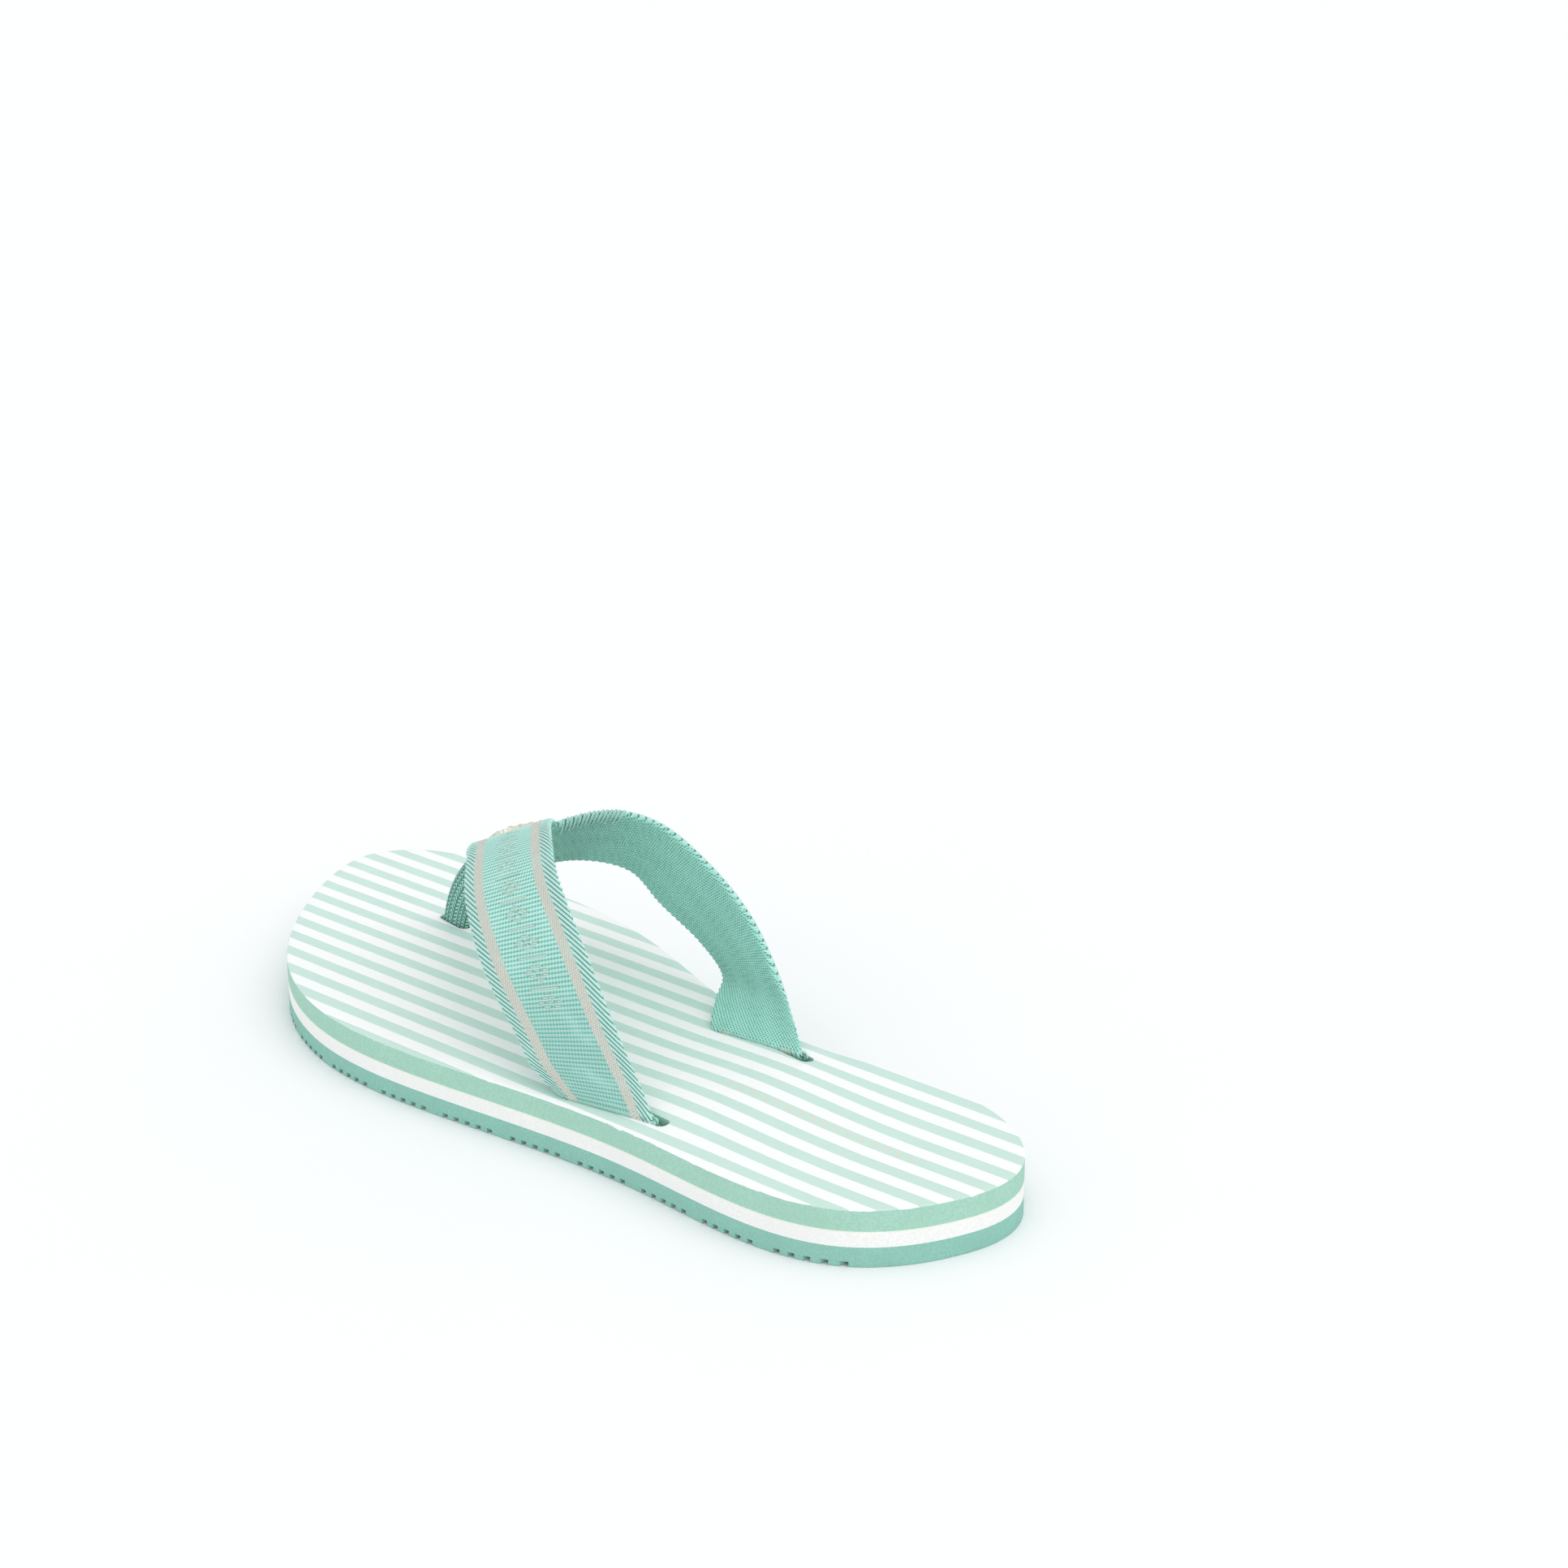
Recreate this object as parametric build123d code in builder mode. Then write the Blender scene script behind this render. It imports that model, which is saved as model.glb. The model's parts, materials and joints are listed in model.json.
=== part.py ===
from build123d import *
import os

# Left-foot flip flop with woven webbing straps: +X to the toe, +Y to the wearer's left, +Z up.
# Millimetres. The origin is on the floor, under the middle of the sole's own rectangle.

# ---- driving dimensions ----------------------------------------------------------------------
sole_length = 257.0
ball_width = 90.4
waist_width = 62.4
heel_width = 62.6
waist_shift = -4.1              # how far each width's middle stands from the centre line
heel_shift = -13.1

top_sheet_thickness = 1.2       # printed sheet, top foam, white midsole, outsole
top_foam_thickness = 4.0
midsole_thickness = 3.7
outsole_thickness = 4.6

ball_line = 40.0                # where the forefoot bends, forward of the sole's middle
flex_gap = 0.6                  # between the forefoot and rear sections at the ball line

webbing_width = 26.0
webbing_thickness = 2.0
slot_play = 2.0                 # room round the webbing in its slot, each end
slot_width = 3.6
post_width = 9.5                # the narrow webbing between the toes
post_thickness = 2.4
post_head_drop = 3.5            # the post's square end, below the lower strap

lateral_slot_x, lateral_slot_y, lateral_slot_turn = -46.5, 19.3, 7.0
medial_slot_x, medial_slot_y, medial_slot_turn = -39.5, -28.2, 2.0
post_x, post_y = 71.5, -12.0    # where the toe post leaves the printed sheet

apex_x, apex_y, apex_height = 44.0, -16.0, 32.0     # the height is above the printed sheet
lateral_bow = 13.8              # how far each strap bows out and rises over the foot
lateral_rise = 42.5
medial_bow = 16.6
medial_rise = 32.0
strap_overrun = 9.0             # webbing sewn down beyond the apex
layer_clearance = 0.6           # between the layers stacked at the apex

plug_length_margin = 7.0        # rubber plug under each slot, longer and wider than the webbing
plug_width = 11.0
plug_thickness = 2.6
plug_clearance = 0.3
post_hole_play = 1.2

patch_length = 20.0
patch_width = 17.0
patch_thickness = 1.3
patch_corner = 3.0
label_width = 18.0
label_thickness = 0.6

thread_width = 0.7
thread_height = 0.5
stitch_length = 2.2
stitch_pitch = 3.2
stitch_margin = 1.6
whip_stitches = 6

tread_groove = 1.5              # tread grooves across the outsole, in groups
tread_depth = 1.2
tread_pitch = 3.3
grooves_in_group = 5
group_pitch = 20.0

# ---- what follows from them ------------------------------------------------------------------
midsole_bottom = outsole_thickness
top_foam_bottom = midsole_bottom + midsole_thickness
top_sheet_bottom = top_foam_bottom + top_foam_thickness
sole_top = top_sheet_bottom + top_sheet_thickness
half_length = sole_length / 2
plug_top = plug_thickness
tab_bottom = plug_top + plug_clearance
strap_run_in = webbing_width / 2    # webbing that lies flat before the apex

os.makedirs("parts", exist_ok=True)


def finish(builder, name):
    """Label one finished piece and write it to its own file."""
    builder.part.label = name
    export_step(builder.part, f"parts/{name}.step")


# ---- the sole's outline ----------------------------------------------------------------------
# Each point is a share of the half length, and a share of one width's half beside its middle.
outline_stations = [
    (-0.998, heel_shift, heel_width, 0.00),
    (-0.885, heel_shift, heel_width, 0.88),
    (-0.467, waist_shift, waist_width, 0.96),
    (0.000, 0.0, ball_width, 0.88),
    (0.290, 0.0, ball_width, 0.998),
    (0.580, 0.0, ball_width, 0.79),
    (0.830, 0.0, ball_width, 0.26),
    (0.955, 0.0, ball_width, -0.15),
    (1.000, 0.0, ball_width, -0.46),
    (0.945, 0.0, ball_width, -0.77),
    (0.700, 0.0, ball_width, -0.925),
    (0.430, 0.0, ball_width, -0.998),
    (0.160, 0.0, ball_width, -0.935),
    (-0.050, 0.0, ball_width, -0.81),
    (-0.370, waist_shift, waist_width, -1.00),
    (-0.763, heel_shift, heel_width, -1.00),
    (-0.940, heel_shift, heel_width, -0.70),
]
outline_points = [
    (half_length * along, shift + width / 2 * across)
    for along, shift, width, across in outline_stations
]

with BuildSketch() as footprint:
    with BuildLine():
        Spline(*outline_points, periodic=True)
    make_face()

# ---- slots and plug recesses -----------------------------------------------------------------
lateral_slot = Plane(Location((lateral_slot_x, lateral_slot_y, 0), (0, 0, lateral_slot_turn)))
medial_slot = Plane(Location((medial_slot_x, medial_slot_y, 0), (0, 0, medial_slot_turn)))
post_hole = Plane(Location((post_x, post_y, 0)))
slot_length = webbing_width + 2 * slot_play

with BuildPart() as strap_slots:
    for slot in (lateral_slot, medial_slot):
        with BuildSketch(slot):
            SlotOverall(slot_length, slot_width)
        extrude(amount=sole_top)
        with BuildSketch(slot):
            SlotOverall(
                webbing_width + plug_length_margin + 2 * plug_clearance,
                plug_width + 2 * plug_clearance,
            )
        extrude(amount=tab_bottom)

with BuildPart() as post_slot:
    with BuildSketch(post_hole):
        SlotOverall(post_width + 2 * post_hole_play, post_thickness + post_hole_play)
    extrude(amount=sole_top)
    with BuildSketch(post_hole):
        Circle(plug_width / 2 + plug_clearance)
    extrude(amount=tab_bottom)

with BuildPart() as tread_grooves:
    group_count = int(sole_length // group_pitch)
    with BuildSketch():
        with GridLocations(group_pitch, 0, group_count, 1):
            with GridLocations(tread_pitch, 0, grooves_in_group, 1):
                Rectangle(tread_groove, 2 * ball_width)
    extrude(amount=tread_depth)

# ---- sole layers -----------------------------------------------------------------------------
sole_layers = {
    "outsole": (0.0, outsole_thickness),
    "midsole": (midsole_bottom, midsole_thickness),
    "top_foam": (top_foam_bottom, top_foam_thickness),
    "top_sheet": (top_sheet_bottom, top_sheet_thickness),
}
sections = {
    "rear": (ball_line - flex_gap / 2, Keep.BOTTOM, strap_slots),
    "front": (ball_line + flex_gap / 2, Keep.TOP, post_slot),
}
for layer, (bottom, thickness) in sole_layers.items():
    for section, (cut_x, kept_side, openings) in sections.items():
        with BuildPart() as sole_section:
            with BuildSketch(Plane.XY.offset(bottom)):
                add(footprint.sketch)
            extrude(amount=thickness)
            if layer == "outsole":
                add(tread_grooves.part, mode=Mode.SUBTRACT)
            add(openings.part, mode=Mode.SUBTRACT)
            split(bisect_by=Plane.YZ.offset(cut_x), keep=kept_side)
        finish(sole_section, f"{layer}_{section}")

# ---- straps ----------------------------------------------------------------------------------
apex = Vector(apex_x, apex_y, sole_top + apex_height)
apex_normal = Vector(0.60, -0.05, 0.80).normalized()


def in_apex_plane(direction):
    """The direction laid flat in the plane of the apex."""
    return (direction - apex_normal * direction.dot(apex_normal)).normalized()


lateral_run = in_apex_plane(Vector(0.55, -0.70, -0.456))
medial_run = in_apex_plane(Vector(0.48, 0.80, -0.31))


def strap_stations(slot, bow, rise, run, lift, shape):
    """Centre points of a strap from its slot to its sewn end."""
    start = slot.origin + Vector(0, 0, sole_top)
    end = apex + apex_normal * lift
    points = [start]
    for along, out, up in shape:
        base = start + (end - start) * along
        points.append(Vector(base.X, base.Y + bow * out, sole_top + rise * up))
    points.append(end - run * strap_run_in)
    points.append(end + run * strap_overrun)
    return points


def strap_planes(points, spreads):
    """A plane at each station, with its x axis across the webbing and its y axis through it."""
    planes = []
    last = len(points) - 1
    for index, (point, spread) in enumerate(zip(points, spreads)):
        run = points[min(index + 1, last)] - points[max(index - 1, 0)]
        if index >= last - 1:
            run = points[last] - points[last - 1]
        across = spread.normalized()
        planes.append(Plane(origin=point, x_dir=across, z_dir=run - across * run.dot(across)))
    return planes


layer_step = (webbing_thickness + layer_clearance) / 2
lateral_points = strap_stations(
    lateral_slot, lateral_bow, lateral_rise, lateral_run, layer_step,
    [(0.18, 0.62, 0.27), (0.38, 0.93, 0.58), (0.56, 1.00, 0.82), (0.73, 0.64, 1.00)],
)
lateral_spreads = [
    lateral_slot.x_dir,
    Vector(0.90, 0.38, -0.20),
    Vector(0.80, 0.53, -0.27),
    Vector(0.74, 0.53, -0.41),
    Vector(0.63, 0.63, -0.46),
    apex_normal.cross(lateral_run),
    apex_normal.cross(lateral_run),
]
medial_points = strap_stations(
    medial_slot, -medial_bow, medial_rise, medial_run, -layer_step,
    [(0.18, 0.56, 0.27), (0.355, 0.88, 0.50), (0.55, 1.00, 0.74), (0.74, 0.98, 0.94)],
)
medial_spreads = [
    medial_slot.x_dir,
    Vector(0.95, -0.17, -0.27),
    Vector(0.87, -0.13, -0.48),
    Vector(0.81, -0.10, -0.58),
    Vector(0.74, -0.14, -0.66),
    medial_run.cross(apex_normal),
    medial_run.cross(apex_normal),
]
lateral_planes = strap_planes(lateral_points, lateral_spreads)
medial_planes = strap_planes(medial_points, medial_spreads)

with BuildPart() as lateral_strap:
    with BuildSketch(lateral_slot.offset(tab_bottom)):
        Rectangle(webbing_width, webbing_thickness)
    extrude(amount=sole_top - tab_bottom)
    with BuildSketch(lateral_slot.offset(sole_top)):
        Rectangle(webbing_width, webbing_thickness)
    for plane in lateral_planes[1:]:
        with BuildSketch(plane):
            Rectangle(webbing_width, webbing_thickness)
    loft(ruled=True)
finish(lateral_strap, "lateral_strap")

with BuildPart() as medial_strap:
    with BuildSketch(medial_slot.offset(tab_bottom)):
        Rectangle(webbing_width, webbing_thickness)
    extrude(amount=sole_top - tab_bottom)
    with BuildSketch(medial_slot.offset(sole_top)):
        Rectangle(webbing_width, webbing_thickness)
    for plane in medial_planes[1:]:
        with BuildSketch(plane):
            Rectangle(webbing_width, webbing_thickness)
    loft(ruled=True)
finish(medial_strap, "medial_strap")

# ---- toe post --------------------------------------------------------------------------------
post_lift = -(1.5 * webbing_thickness + 1.5 * layer_clearance + post_head_drop)
post_top = apex + apex_normal * post_lift
post_foot = post_hole.offset(sole_top)
post_head = post_top + in_apex_plane(Vector(1, 0, -0.75)) * 9

with BuildPart() as toe_post:
    with BuildSketch(post_hole.offset(tab_bottom)):
        Rectangle(post_width, post_thickness)
    extrude(amount=sole_top - tab_bottom)
    with BuildSketch(post_foot):
        Rectangle(post_width, post_thickness)
    for share in (0.35, 0.70, 1.0):
        middle = post_foot.origin + (post_head - post_foot.origin) * share
        with BuildSketch(Plane(origin=middle, x_dir=(1, 0, 0.35 * share), z_dir=(-0.35 * share, 0, 1))):
            Rectangle(post_width, post_thickness)
    loft(ruled=True)
finish(toe_post, "toe_post")

# ---- anchor plugs ----------------------------------------------------------------------------
for name, slot in (("lateral_anchor_plug", lateral_slot), ("medial_anchor_plug", medial_slot)):
    with BuildPart() as anchor_plug:
        with BuildSketch(slot):
            SlotOverall(webbing_width + plug_length_margin, plug_width)
        extrude(amount=plug_thickness)
    finish(anchor_plug, name)

with BuildPart() as toe_anchor_plug:
    with BuildSketch(post_hole):
        Circle(plug_width / 2)
    extrude(amount=plug_thickness)
finish(toe_anchor_plug, "toe_anchor_plug")

# ---- apex patch and its stitching ------------------------------------------------------------
patch_lift = webbing_thickness + 1.5 * layer_clearance
patch_plane = Plane(
    origin=apex + apex_normal * patch_lift,
    x_dir=in_apex_plane(Vector(1, 0, -0.75)),
    z_dir=apex_normal,
)
with BuildPart() as apex_patch:
    with BuildSketch(patch_plane):
        RectangleRounded(patch_length, patch_width, patch_corner)
    extrude(amount=patch_thickness)
finish(apex_patch, "apex_patch")

seam_x = patch_length / 2 - stitch_margin
seam_y = patch_width / 2 - stitch_margin
long_stitches = int((patch_length - 2 * patch_corner) // stitch_pitch)
short_stitches = int((patch_width - 2 * patch_corner) // stitch_pitch)
with BuildPart() as patch_stitching:
    with BuildSketch(patch_plane.offset(patch_thickness)):
        with GridLocations(stitch_pitch, 2 * seam_y, long_stitches, 2):
            Rectangle(stitch_length, thread_width)
        with GridLocations(2 * seam_x, stitch_pitch, 2, short_stitches):
            Rectangle(thread_width, stitch_length)
    extrude(amount=thread_height)
finish(patch_stitching, "patch_stitching")

# ---- whip stitches that close the medial strap's rear edge beside the apex -------------------
edge_plane = medial_planes[-2]
whip_depth = webbing_thickness + thread_height
with BuildPart() as strap_seam_stitching:
    for index in range(whip_stitches):
        with BuildSketch(edge_plane.offset(index * thread_width * 2)):
            with Locations((-(webbing_width + thread_height) / 2, 0)):
                Rectangle(thread_height, whip_depth)
        extrude(amount=thread_width)
finish(strap_seam_stitching, "strap_seam_stitching")

# ---- woven label on the lateral strap's inner face -------------------------------------------


def between(first, second, share):
    """The plane part of the way from one strap station to the next."""
    return Plane(
        origin=first.origin + (second.origin - first.origin) * share,
        x_dir=first.x_dir + (second.x_dir - first.x_dir) * share,
        z_dir=first.z_dir + (second.z_dir - first.z_dir) * share,
    )


label_drop = -(webbing_thickness / 2 + layer_clearance / 2 + label_thickness / 2)
label_stitch_drop = label_drop - label_thickness / 2 - thread_height / 2 - layer_clearance / 4
with BuildPart() as inner_label:
    for share in (0.0, 1.0):
        with BuildSketch(between(lateral_planes[2], lateral_planes[3], share)):
            with Locations((0, label_drop)):
                Rectangle(label_width, label_thickness)
    loft(ruled=True)
finish(inner_label, "inner_label")

label_stitches = int(label_width // stitch_pitch)
with BuildPart() as label_stitching:
    for share in (0.08, 0.90):
        with BuildSketch(between(lateral_planes[2], lateral_planes[3], share)):
            with Locations((0, label_stitch_drop)):
                with GridLocations(stitch_pitch, 0, label_stitches, 1):
                    Rectangle(stitch_length, thread_height)
        extrude(amount=thread_width)
finish(label_stitching, "label_stitching")
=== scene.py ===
"""Mint striped flip flop with woven webbing straps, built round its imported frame."""
import json
import math

import bmesh
import bpy
from bpy.props import FloatProperty, FloatVectorProperty, PointerProperty
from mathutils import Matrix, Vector


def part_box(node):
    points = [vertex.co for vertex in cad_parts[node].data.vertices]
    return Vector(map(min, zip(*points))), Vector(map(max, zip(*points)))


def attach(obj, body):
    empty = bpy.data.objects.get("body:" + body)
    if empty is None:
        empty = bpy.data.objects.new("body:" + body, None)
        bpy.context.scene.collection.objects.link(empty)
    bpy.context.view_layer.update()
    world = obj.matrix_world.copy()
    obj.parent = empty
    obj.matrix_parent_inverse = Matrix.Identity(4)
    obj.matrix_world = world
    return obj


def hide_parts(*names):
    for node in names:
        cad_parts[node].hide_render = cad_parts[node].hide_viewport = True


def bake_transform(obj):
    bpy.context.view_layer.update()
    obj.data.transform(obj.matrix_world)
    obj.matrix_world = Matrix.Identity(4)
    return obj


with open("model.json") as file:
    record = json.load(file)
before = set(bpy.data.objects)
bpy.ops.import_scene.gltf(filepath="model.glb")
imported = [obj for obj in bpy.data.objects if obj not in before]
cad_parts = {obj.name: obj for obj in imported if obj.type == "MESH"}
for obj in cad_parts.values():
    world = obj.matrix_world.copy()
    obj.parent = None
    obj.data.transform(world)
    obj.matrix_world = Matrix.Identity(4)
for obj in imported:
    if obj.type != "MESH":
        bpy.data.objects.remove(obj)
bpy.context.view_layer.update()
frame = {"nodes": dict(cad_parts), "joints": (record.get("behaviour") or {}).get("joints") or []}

bl_info = {
    "name": "Webbing flip flop",
    "version": (1, 0, 0),
    "blender": (4, 5, 0),
    "location": "3D View > Sidebar > Flip flop",
    "description": "Builds a left flip flop with a striped foam sole and woven webbing straps",
    "category": "Object",
}

MM = 0.001
REAR = "rear"
BALL_LINE = frame["joints"][0]["pos_m"][0]
SOLE_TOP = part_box("top_sheet_rear")[1][2]
MERGE = 1e-7             # metres; points nearer than this are one
CUT_SNAP = 0.3 * MM      # a cut this near a point goes through it, so it leaves no sliver

# Both edges of each strap, from inside its slot to beyond the join over the toes. Millimetres; the
# height is above the printed sheet. The first edge of each pair is the one nearer the toes.
LATERAL_EDGES = (
    ((-33.5, 21.0, -8.0), (-33.5, 21.4, 0.0), (-34.4, 26.2, 0.1), (-26.6, 29.3, 4.7),
     (-17.8, 27.9, 9.4), (-3.0, 27.0, 20.9), (14.1, 20.2, 30.1), (29.8, 9.7, 33.6),
     (44.5, -0.6, 30.0), (51.2, -3.6, 25.3), (58.8, -12.5, 18.1)),
    ((-59.0, 17.9, -8.0), (-59.0, 18.3, 0.0), (-58.9, 18.9, 0.5), (-48.4, 15.9, 6.1),
     (-39.4, 14.7, 13.4), (-22.3, 11.5, 27.7), (-5.8, 7.6, 39.9), (8.6, -0.5, 43.8),
     (23.9, -11.0, 40.2), (33.6, -18.6, 35.8), (41.0, -27.0, 29.0)),
)
MEDIAL_EDGES = (
    ((-25.5, -28.6, -8.0), (-25.5, -28.4, 0.0), (-25.4, -22.8, -0.1), (-17.9, -28.9, 2.9),
     (-10.5, -37.0, 4.9), (2.0, -39.5, 9.5), (16.5, -38.3, 15.3), (29.9, -38.3, 20.5),
     (41.7, -32.3, 22.9), (50.9, -26.7, 20.9), (58.9, -15.8, 16.6)),
    ((-52.0, -29.4, -8.0), (-52.0, -29.6, 0.0), (-51.6, -29.0, 0.3), (-43.1, -32.8, 4.9),
     (-35.4, -35.3, 10.6), (-20.5, -38.2, 21.7), (-4.1, -38.6, 30.4), (11.6, -34.8, 38.1),
     (24.1, -28.2, 41.0), (33.2, -20.0, 37.9), (40.0, -9.2, 32.3)),
)
APEX_NORMAL = Vector((0.60, -0.05, 0.80)).normalized()
APEX_SETTLE = 2.4 * MM   # how far the loaded join sinks along its normal
APEX = Vector((44, -16, 32)) * MM + Vector((0, 0, SOLE_TOP)) - APEX_NORMAL * APEX_SETTLE
APEX_REACH = 12 * MM     # how far each strap runs on beyond the middle of the join
LATERAL_RUN = Vector((0.55, -0.70, -0.456)).normalized()
MEDIAL_RUN = Vector((0.488, 0.814, -0.315)).normalized()
LATERAL_LIFT, MEDIAL_LIFT = 0.5, -1.75   # at the join one strap lies over the other; mm
SLOT_DEPTH = 8.5 * MM    # how deep the webbing reaches into the sole

# Weave, in millimetres: a row is one ring of points along the webbing.
HALF_WIDTH = 12.8
ROW = 0.2
CORD_ROWS = 10           # rows to a slanting edge cord, and to a cross rib
RIB_ROWS = 6
TWILL_START = 9.8        # from the middle of the webbing to its edge band
TWILL_SLOPE = 1.7
FACE_COLUMNS, BACK_COLUMNS, EDGE_COLUMNS = 52, 28, 4
TAIL = 7.0               # webbing made beyond each end, then cut off
MOTIF_PITCH = 8.2
PLAIT_WIDTH = 1.5
PLAIT_PITCH = 1.25
PLAIT_LEAN = 1.5

# The toe post's middle line, from its hole to the join. Millimetres, height above the sheet.
POST_ROUTE = ((71.8, -12, -8.5), (71.4, -12, -0.5), (68.4, -12.3, 7.5), (63.0, -12.9, 14.4),
              (56.2, -13.6, 19.5), (48.5, -14.4, 23.2))
POST_ROWS, POST_COLUMNS = 230, 56
POST_HALF_THICKNESS = 1.3
PATCH_SHIFT = (4.5, 1.5)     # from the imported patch's middle, along and across it; mm
OVERCAST_LOOPS = 15
OVERCAST_PITCH = 1.05

# Stage
FLOOR_SIZE = 14
FLOOR_DROP = 0.05 * MM       # keeps the floor clear of the outsole's face
WORLD_STRENGTH = 0.91
KEY_POWER = 0.5
FILL_POWER = 0.22
CAMERA_PLACE = (-0.5609, 0.3769, 0.3045)
CAMERA_HEADING = (0.78644, -0.61766)
CAMERA_PITCH = math.radians(18.97)
CAMERA_LENS, CAMERA_SENSOR = 70.4, 36


def srgb(red, green, blue):
    """A colour given as 0 to 255 display values, as the linear values that shaders take."""
    parts = (part / 255 for part in (red, green, blue))
    return (*(part / 12.92 if part <= 0.04045 else ((part + 0.055) / 1.055) ** 2.4
              for part in parts), 1.0)


# ---- what a user would change ----------------------------------------------------------------
def colour(name, description, red, green, blue):
    return FloatVectorProperty(
        name=name, description=description, subtype="COLOR", size=4, min=0, max=1,
        default=srgb(red, green, blue),
    )


def length(name, description, default):
    return FloatProperty(name=name, description=description, default=default * MM, unit="LENGTH",
                         min=0, precision=5)


class FlipFlopSole(bpy.types.PropertyGroup):
    """Sizes and colours of the layered sole."""
    stripe_pitch: length("Stripe pitch", "From one mint stripe to the next", 7.3)
    stripe_width: length("Stripe width", "Width of a mint stripe", 3.6)
    stripe_turn: FloatProperty(name="Stripe turn", description="Angle of the stripes to the sole",
                               default=math.radians(9.5), subtype="ANGLE")
    stripe_shift: length("Stripe shift", "Where the first stripe lies across the sole", 3.18)
    rim: length("Rim", "Rounding of the layers' edges", 0.25)
    arch_swell: length("Arch swell", "How far the footbed rises under the arch", 0.9)
    heel_hollow: length("Heel hollow", "How far the footbed sinks under the heel", 0.5)
    print_white: colour("Print white", "Ground of the printed sheet", 251, 252, 251)
    print_mint: colour("Print mint", "Stripes of the printed sheet", 203, 230, 219)
    foam_mint: colour("Mint foam", "Top foam layer", 170, 214, 196)
    foam_white: colour("White foam", "Midsole layer", 246, 246, 243)
    outsole_mint: colour("Outsole mint", "Outsole layer", 147, 200, 185)


class FlipFlopStraps(bpy.types.PropertyGroup):
    """Sizes and colours of the webbing and what is sewn to it."""
    thickness: length("Thickness", "Webbing thickness", 2.0)
    rib_pitch: length("Rib pitch", "From one cross rib to the next", 1.2)
    silver_width: length("Silver width", "Width of each pale woven line", 2.7)
    post_width: length("Post width", "Width of the toe post", 9.5)
    webbing_mint: colour("Webbing mint", "Face of the webbing", 186, 231, 221)
    webbing_deep: colour("Webbing shade", "Gaps between the threads", 108, 186, 170)
    lining_mint: colour("Lining mint", "Back of the webbing and the toe post", 156, 219, 203)
    webbing_silver: colour("Silver thread", "Pale woven lines and motif", 226, 230, 218)
    patch_cream: colour("Patch cream", "Woven patch over the join", 255, 247, 232)
    label_grey: colour("Label grey", "Woven label inside the lateral strap", 118, 132, 130)


# ---- finishes --------------------------------------------------------------------------------
class Finish:
    """A material, with short calls for the nodes that colour and emboss it."""

    def __init__(self, name, roughness, sheen=0.0, specular=0.5):
        self.material = bpy.data.materials.new(name)
        self.material.use_nodes = True
        self.tree = self.material.node_tree
        self.shader = self.tree.nodes["Principled BSDF"]
        self.shader.inputs["Roughness"].default_value = roughness
        self.shader.inputs["Sheen Weight"].default_value = sheen
        self.shader.inputs["Specular IOR Level"].default_value = specular
        self.normal = None

    def node(self, kind, inputs, **settings):
        node = self.tree.nodes.new(kind)
        for key, value in settings.items():
            setattr(node, key, value)
        for key, value in inputs.items():
            if isinstance(value, bpy.types.NodeSocket):
                self.tree.links.new(value, node.inputs[key])
            else:
                node.inputs[key].default_value = value
        return node

    def math(self, operation, first, second=0.0, third=0.0):
        return self.node("ShaderNodeMath", {0: first, 1: second, 2: third},
                         operation=operation).outputs[0]

    def add(self, first, second):
        return self.math("ADD", first, second)

    def times(self, first, second):
        return self.math("MULTIPLY", first, second)

    def size(self, value):
        return self.math("ABSOLUTE", value)

    def step(self, value, low, high):
        """0 below low, 1 above high and smooth between; low may be the larger."""
        return self.node("ShaderNodeMapRange", {0: value, 1: low, 2: high},
                         interpolation_type="SMOOTHSTEP").outputs[0]

    def wave(self, value, period):
        """A wave from 0 to 1, at 1 where value is a multiple of period."""
        turn = self.math("COSINE", self.times(value, 2 * math.pi / period))
        return self.math("MULTIPLY_ADD", turn, 0.5, 0.5)

    def cord(self, value, period):
        """Round cords side by side, with a narrow groove where value is a multiple of period."""
        return self.size(self.math("SINE", self.times(value, math.pi / period)))

    def repeat(self, value, period):
        """How far value is from the middle of its own period."""
        turns = self.math("FRACT", self.add(self.times(value, 1 / period), 0.5))
        return self.times(self.add(turns, -0.5), period)

    def both(self, first, second):
        return self.math("MINIMUM", first, second)

    def millimetres(self, metres):
        """A place in millimetres: the vector and its three parts."""
        vector = self.node("ShaderNodeVectorMath", {0: metres, 3: 1 / MM},
                           operation="SCALE").outputs[0]
        return (vector, *self.node("ShaderNodeSeparateXYZ", {0: vector}).outputs)

    def place(self):
        """Object coordinates: the vector, x, y and z."""
        return self.millimetres(self.node("ShaderNodeTexCoord", {}).outputs["Object"])

    def cloth(self):
        """The piece's own map: the vector, along it and across it."""
        flat = self.node("ShaderNodeUVMap", {}, uv_map="UVMap").outputs[0]
        return self.millimetres(flat)[:3]

    def noise(self, vector, scale, detail=3.0):
        """Even noise about 0.5; scale is features a millimetre."""
        return self.node("ShaderNodeTexNoise", {"Vector": vector, "Scale": scale,
                                                "Detail": detail}).outputs[0]

    def mix(self, share, first, second):
        node = self.node("ShaderNodeMix", {0: share, 6: first, 7: second}, data_type="RGBA")
        return node.outputs[2]

    def emboss(self, height, depth):
        """Adds relief: height is from 0 to 1 and depth in millimetres."""
        inputs = {"Height": height, "Distance": depth * MM, "Strength": 1.0}
        if self.normal:
            inputs["Normal"] = self.normal
        self.normal = self.node("ShaderNodeBump", inputs).outputs[0]

    def done(self, base, grain, share, least):
        """Ends the material. Its roughness is least, and more by share where grain is 1."""
        roughness = self.math("MULTIPLY_ADD", grain, share, least)
        for value, socket in ((base, "Base Color"), (self.normal, "Normal"),
                              (roughness, "Roughness")):
            self.tree.links.new(value, self.shader.inputs[socket])
        return self.material


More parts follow.
